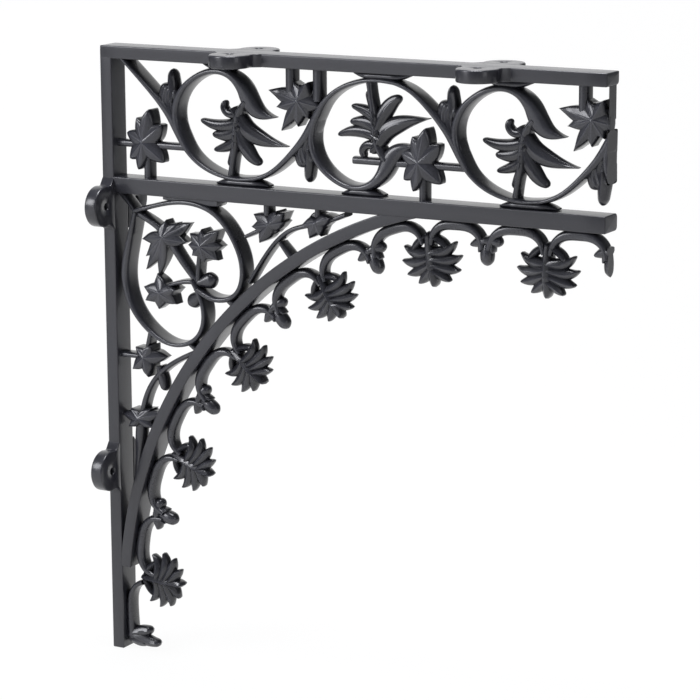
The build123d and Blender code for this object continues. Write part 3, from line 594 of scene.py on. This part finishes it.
def hanging_leaf(end=None):
    """Broad leaf that hangs from the shelf bar on two posts and leans on the next ring."""
    x, z, _ = frieze([(137, 74, 0)])[0]
    lobes = [(168, 37, 17), (196, 28, 15), (238, 35, 14), (266, 25, 15), (300, 20, 15),
             (110, 19, 15), (345, 24, 17), (60, 21, 16)]
    shells = [lobed(x, z, 60, lobes, 15.0, end=end)]
    for share in (129.5, 149):
        post_x = frieze([(share, 0, 0)])[0][0]
        shells.append(limb(np.insert(straight(post_x, z, post_x, shelf_bar_bottom + 1, 16), 2, 10.5, axis=1), 8.0, 0.7))
    left, right_end = frieze([(129.5, 0, 0), (152, 0, 0)])[:, 0]
    return shells + [limb(np.insert(straight(left, z + 5.5, right_end, z + 5.5, 16), 2, 12.0, axis=1), 5.6, 0.7)]


for count in range(4):
    end = projection if count == 3 else None
    cast(f"scroll_{count + 1}", half_turned(scroll(count == 0), count), leaf_paint,
         f"frieze_scroll_{count + 1}", end=end)
    cast(f"fork_bud_{count + 1}", half_turned(fork_bud(), count), leaf_paint,
         f"frieze_calyx_{count + 1}", end=end and end - 0.3)
    if count < 3:
        cast(f"ring_leaf_{count + 1}", half_turned(acanthus(), count), leaf_paint, f"frieze_acanthus_{count + 1}")
    if count % 2:
        leaf_shells = half_turned(hanging_leaf(end and end - 2 * half_wave), count - 1)
    else:
        leaf_shells = half_turned(standing_leaf(count == 0), count)
    cast(f"post_leaf_{count + 1}", leaf_shells, leaf_paint, f"frieze_leaf_{count + 1}", end=end and end - 0.15)


# Spandrel: two scrolls spring from the corner under the rail and rest on the arch, with a leafy
# branch between them; a stem with two leaves climbs beside them and one drops to a finial.
def spandrel(points):
    """Rows of percent out from the corner, percent down (both of the arch radius) and width."""
    rows = np.array(points, float)
    rows[:, 0] = wall_bar_width + rows[:, 0] / 100 * arch_radius
    rows[:, 1] = rail_bottom - rows[:, 1] / 100 * arch_radius
    return rows


def stems(*paths, deep=tie_depth / 2, square=0.7):
    """Plain stems of the spandrel, one for each path."""
    return [limb(thread(spandrel(path), 14 * len(path)), deep, square) for path in paths]


def tongue(a, b, angle, reach, width, thick=8.0):
    """A rounded lobe: a short blade with a blunt end, from a spandrel place in one direction."""
    x, z, _ = spandrel([(a, b, 0)])[0]
    turned = math.radians(angle)
    share = np.linspace(0, 1, 24)[:, None]
    line = np.concatenate([(x, z) + share * reach * (math.cos(turned), math.sin(turned)),
                           width * (0.62 + 0.4 * np.sin(math.pi * share ** 1.3))], 1)
    return limb(line, thick * np.linspace(1, 0.85, 24), 0.95, (0, width * 0.45))


left_scroll = [(4.7, 4.0, 5), (2.8, 11.4, 8), (1.7, 18.1, 9), (3.1, 24.4, 7), (7.8, 30.1, 6), (15.0, 32.8, 5),
               (20.8, 29.8, 5.5), (21.7, 23.3, 5.5), (19.0, 17.9, 5)]
corner, foot = [(-0.5, -0.9, 8), (2.2, 1.6, 6), (4.9, 4.6, 6)], [(17.5, 32.0, 6), (19.0, 33.1, 6), (20.5, 34.0, 6)]
cast("left_scroll", [limb(thread(spandrel(left_scroll), 120), scroll_depth / 2, 0.62), *stems(corner, foot),
                     tongue(20.8, 21.2, 216, 20, 15)], leaf_paint, "spandrel_scroll_left")
top_scroll = [(4.5, 3.8, 5), (10.5, 2.1, 5), (17.2, 1.0, 6), (25.0, 2.9, 6.5), (30.0, 8.5, 6.5), (31.9, 14.4, 6),
              (30.2, 20.1, 6), (24.4, 21.7, 6), (20.0, 19.8, 5)]
top_seat = [(11.5, 0.3, 4), (15.0, 0.4, 6), (20.0, 0.3, 8), (24.0, 0.5, 10), (26.5, 0.6, 6)]
cast("top_scroll", [limb(thread(spandrel(top_scroll), 120), scroll_depth / 2, 0.62),
                    limb(thread(spandrel(top_seat), 24), 9.8, 0.45, (2, 2)),
                    *stems([(27.5, 21.4, 7), (29.0, 22.5, 8), (30.5, 23.5, 9)])], leaf_paint, "spandrel_scroll_top")
cast("leafy_branch", [*stems([(5.2, 4.5, 7), (11.9, 8.5, 8), (15.0, 12.5, 8.5), (19.9, 18.3, 7)],
                             [(20.1, 18.8, 6), (20.4, 15.2, 6), (21.0, 11.0, 6)],
                             [(20.2, 18.5, 6), (16.1, 18.8, 5), (11.0, 20.6, 5)]),
                      tongue(20.4, 18.6, 15, 19, 16)], leaf_paint, "spandrel_branch")
cast("side_stem", stems([(33.3, 17.4, 4.5), (38.0, 10.3, 5), (43.6, 5.2, 5), (49.9, 3.4, 5), (57.0, 0.8, 5)],
                        [(41.0, 8.0, 4.5), (42.5, 9.7, 6.5), (45.0, 12.5, 8)]), leaf_paint, "spandrel_side_stem")
cast("lower_stem", [*stems([(20.5, 33.6, 5.5), (15.0, 36.2, 5.5), (8.5, 41.4, 6), (5.4, 48.3, 7), (5.0, 51.0, 8)]),
                    tongue(9.6, 38.2, 284, 26, 11)], leaf_paint, "spandrel_lower_stem")

# Leaves of the spandrel: place, midrib angle, lobes of (angle, reach, width), and their ties
vine_leaves = {
    "corner": (11.9, 9.2, 315, [(83, 18, 15), (188, 28, 15), (221, 32, 15), (235, 42, 14), (257, 41, 14), (47, 21, 15),
                                (29, 33, 15), (354, 26, 15)], []),
    "outer": (21.7, 10.3, 70, [(42, 26, 15), (3, 22, 15), (321, 21, 15), (90, 17, 15), (144, 19, 15), (180, 17, 15),
                               (222, 15, 15), (281, 16, 15)], []),
    "inner": (11.0, 21.4, 200, [(169, 21, 15), (208, 20, 15), (257, 18, 15), (327, 20, 15), (12, 18, 15),
                                (108, 19, 15)], []),
    "side_1": (38.9, 4.2, 45, [(158, 22, 14), (190, 22, 15), (238, 22, 15), (60, 16, 14), (37, 21, 14), (11, 16, 14)],
               [[(37.8, 4.0, 8), (37.8, 1.8, 8), (37.8, -0.5, 8)], [(39.0, 4.4, 5), (35.0, 6.2, 5), (32.4, 7.4, 4)]]),
    "side_2": (50.3, 2.9, 30, [(191, 16, 13), (243, 18, 13), (287, 14, 13), (19, 18, 13)],
               [[(50.3, 3.0, 7), (50.3, 1.2, 7), (50.3, -0.5, 7)]]),
    "lower": (6.5, 36.4, 90, [(5, 24, 14), (220, 22, 15), (282, 20, 14), (140, 15, 13), (60, 15, 13)],
              [[(6.5, 36.4, 6), (3.0, 36.4, 6), (-0.5, 36.4, 6)], [(6.5, 36.4, 6), (7.1, 33.4, 6), (7.8, 30.5, 6)]]),
}
vine_nodes = {"corner": "spandrel_leaf_corner", "outer": "spandrel_leaf_outer", "inner": "spandrel_leaf_inner",
              "side_1": "spandrel_side_leaf_1", "side_2": "spandrel_side_leaf_2", "lower": "spandrel_lower_leaf"}
for name, (a, b, ridge, lobes, ties) in vine_leaves.items():
    x, z, _ = spandrel([(a, b, 0)])[0]
    leaf_shells = [lobed(x, z, ridge, lobes, 10.0, half_width=24.0), *stems(*ties)]
    cast(f"vine_leaf_{name}", leaf_shells, leaf_paint, vine_nodes[name])
x, z, _ = spandrel([(4.8, 50.4, 0)])[0]
collar = [(175, 24, 12), (15, 27, 12), (215, 18, 11), (330, 18, 11), (140, 14, 11), (40, 16, 11)]
taper = [(4.6, 50.0, 10), (4.2, 54.0, 13), (3.8, 58.5, 10.4), (3.1, 63.5, 7), (2.4, 68.0, 4)]
cast("finial", [lobed(x, z, 90, collar, 7.0), limb(thread(spandrel(taper), 50), np.linspace(8, 5, 50), 0.95, (2, 4))],
     leaf_paint, "spandrel_finial")


# Cresting: palmette leaves and round-ended buds hang in turn from hooks along the arch and the
# rail, spaced a little wider towards the foot; the last bud is cut in half by the open end.
cusp_count, turn_gap, arch_step_growth = 8, 5.5, 0.16
leaf_drop, foot_leaf_drop, arch_leaf_size = 38.0, 31.0, 0.92
turn_angle = 180 - math.degrees(math.asin((rail_bottom - arch_z) / arch_inner))
arch_step = (arch_foot_angle - turn_angle - arch_step_growth * cusp_count * (cusp_count - 1) / 2) / cusp_count
turn_x = arch_x + arch_inner * math.cos(math.radians(turn_angle)) + turn_gap
rail_step = (projection + 1.0 - turn_x) / 3


def guide(station, drop):
    """Places hung below the arch (stations under 0) or the rail, and the way down there: on the
    arch the circle's radius less the drop, on the rail straight down, leaning near the turn."""
    station, drop = np.broadcast_arrays(np.asarray(station, float), np.asarray(drop, float))
    angle = np.radians(turn_angle - station * arch_step + arch_step_growth * station * (station + 1) / 2)
    on_arch = np.stack([arch_x + (arch_inner - drop) * np.cos(angle), arch_z + (arch_inner - drop) * np.sin(angle)], -1)
    lean = np.radians(8.0 * np.maximum(1 - station * 2, 0))
    on_rail = np.stack([turn_x + station * rail_step + drop * np.sin(lean), rail_bottom - drop * np.cos(lean)], -1)
    under_arch = (station < 0)[..., None]
    inward = np.stack([-np.cos(angle), -np.sin(angle)], -1)
    down = np.where(under_arch, inward, np.stack([np.sin(lean), -np.cos(lean)], -1))
    return np.where(under_arch, on_arch, on_rail), down


def hung(shells, station):
    """Shells drawn about the origin with -Z down, hung at a station."""
    place, down = guide(station, 0)
    made = []
    for rings, painted_light_and_wear in shells:
        x, y, z = rings[..., 0], rings[..., 1], rings[..., 2]
        turned = [place[0] - x * down[1] - z * down[0], y, place[1] + x * down[0] - z * down[1]]
        made.append((np.stack(turned, -1), painted_light_and_wear))
    return made


def palmette(size, drop):
    """Upright midrib with four pairs of upswept blades and one at the foot. A blade leaves the
    midrib square to it, bows down, sweeps up to its tip, and gets thinner as it goes back."""
    lift = drop - leaf_drop * size
    blades = [(33, 27, 24.5, 12, 5.0), (39, 31, 38, 12, 4.0), (44, 27.5, 52, 11.5, 2.0), (49, 16.5, 61.5, 10.5, 1.0)]
    midrib = [(0, 13, 7), (0, 20, 8), (0, 30, 9.5), (0, 42, 11), (0, 52, 10), (0, 60, 8.5), (0, 66, 3)]
    paths = [(midrib, (3.0, 3.0), np.interp(np.linspace(0, 1, 40), [0, 0.3, 0.6, 1], [8.5, 12.0, 12.5, 8.0]))]
    for side in (-1, 1):
        for base, reach, tip, width, bow in blades:
            middle = (base + tip) / 2 + bow
            path = [(0, base, width * 0.8), (side * reach * 0.4, 0.35 * base + 0.65 * middle, width),
                    (side * reach * 0.8, 0.5 * (middle + tip) + bow * 0.1, width * 0.66), (side * reach, tip, 2.0)]
            paths.append((path, (0.0, 1.5), np.linspace(11.5, 4.5, 40)))
        shoulder = [(side * 1, 17, 5), (side * 8, 20.5, 7.5), (side * 14, 25, 8), (side * 19, 31, 5)]
        paths.append((shoulder, (2.0, 3.5), np.linspace(8.5, 6.5, 40)))
    shells = []
    for path, blunt, deep in paths:
        rows = np.array(path, float) * (size, -size, size) - (0, lift, 0)
        shells.append(limb(thread(rows, 40), deep, 1.05, blunt, 1, around=28))
    return shells


def bud():
    """Round-ended bud turned about its hanging axis, out of a collar of small leaves."""
    share = np.linspace(0, 1, 34)
    radius = np.interp(share, [0, 0.25, 0.42, 0.63, 0.85, 1], [3.2, 5.0, 6.5, 7.2, 6.3, 4.4])
    radius = np.convolve(np.pad(radius, 3, "edge"), np.ones(7) / 7, "valid")
    body = np.stack([0 * share, -13 - 28 * share, 2 * radius], -1)
    shells = [limb(body, radius, 1.0, (0, 5.5), around=28)]
    collars = [([(0, -17, 8), (-7, -18.5, 10), (-12, -20.5, 8), (-16.5, -22, 3)], 1.05, 2),
               ([(0, -17, 8), (6.5, -16.5, 10.5), (11, -17.5, 11), (16, -19, 8)], 0.95, 5),
               ([(0, -15, 6), (-4, -20.5, 8), (-6, -25, 6), (-7, -28.5, 2)], 1.05, 1),
               ([(0, -15, 6), (4, -20.5, 8), (6, -25, 6), (7, -28.5, 2)], 1.05, 1)]
    for path, ridge, blunt in collars:
        shells.append(limb(thread(path, 26), np.linspace(8.4, 5.5, 26), ridge, (0, blunt)))
    return shells


def hook(start, end):
    """Arched stem between two stations, its crown seated on the arch or the rail."""
    places = [(0.05, 25, 5.5), (0.105, 14.5, 7.4), (0.265, 6.6, 9.8), (0.5, 4.6, 10.8),
              (0.75, 6.6, 9.8), (0.9, 14.5, 7.6), (0.95, 25, 5.5)]
    rows = []
    for share, drop, width in places:
        place, _ = guide(start + share * (end - start), drop)
        rows.append((*place, width))
    return limb(thread(rows, 60), tie_depth / 2, 0.75)


for station in range(-cusp_count + 1, 4, 2):
    shells = [*hung(bud(), station), hook(station - 1, station)]
    if station < 3:
        shells.append(hook(station, station + 1))
    cast(f"drop_bud_{station + cusp_count}", shells, leaf_paint, f"cresting_bud_{station + cusp_count}",
         end=projection if station == 3 else None)
for station in range(-cusp_count, 3, 2):
    size = arch_leaf_size if station < 0 else 1.0
    drop = foot_leaf_drop if station == -cusp_count else leaf_drop
    cast(f"drop_leaf_{station + cusp_count + 1}", hung(palmette(size, drop), station), leaf_paint,
         f"cresting_leaf_{station + cusp_count + 1}")
foot_stem = [(32.0, 70.0, 6), (25.0, 66.5, 6), (19.0, 59.0, 6.5), (16.5, 48.0, 7.5), (16.5, 34.0, 8), (17.0, 20.0, 9),
             (18.0, 8.0, 10)]
foot_blades = [[(16, 13, 9), (28, 10, 13), (39, 7.5, 11), (49, 7, 7)],
               [(16, 15, 8), (26, 17, 12), (33, 18.5, 11), (40, 20, 7)],
               [(16, 9, 8), (24, 6.5, 10), (31, 5.5, 8), (36, 5, 4)]]
cast("foot_bud", [limb(thread(foot_stem, 60), tie_depth / 2, 0.8, (0, 3)),
                  *[limb(thread(path, 26), np.linspace(8, 6, 26), 1.0, (0, 4), 1) for path in foot_blades]],
     leaf_paint, "cresting_foot_bud")
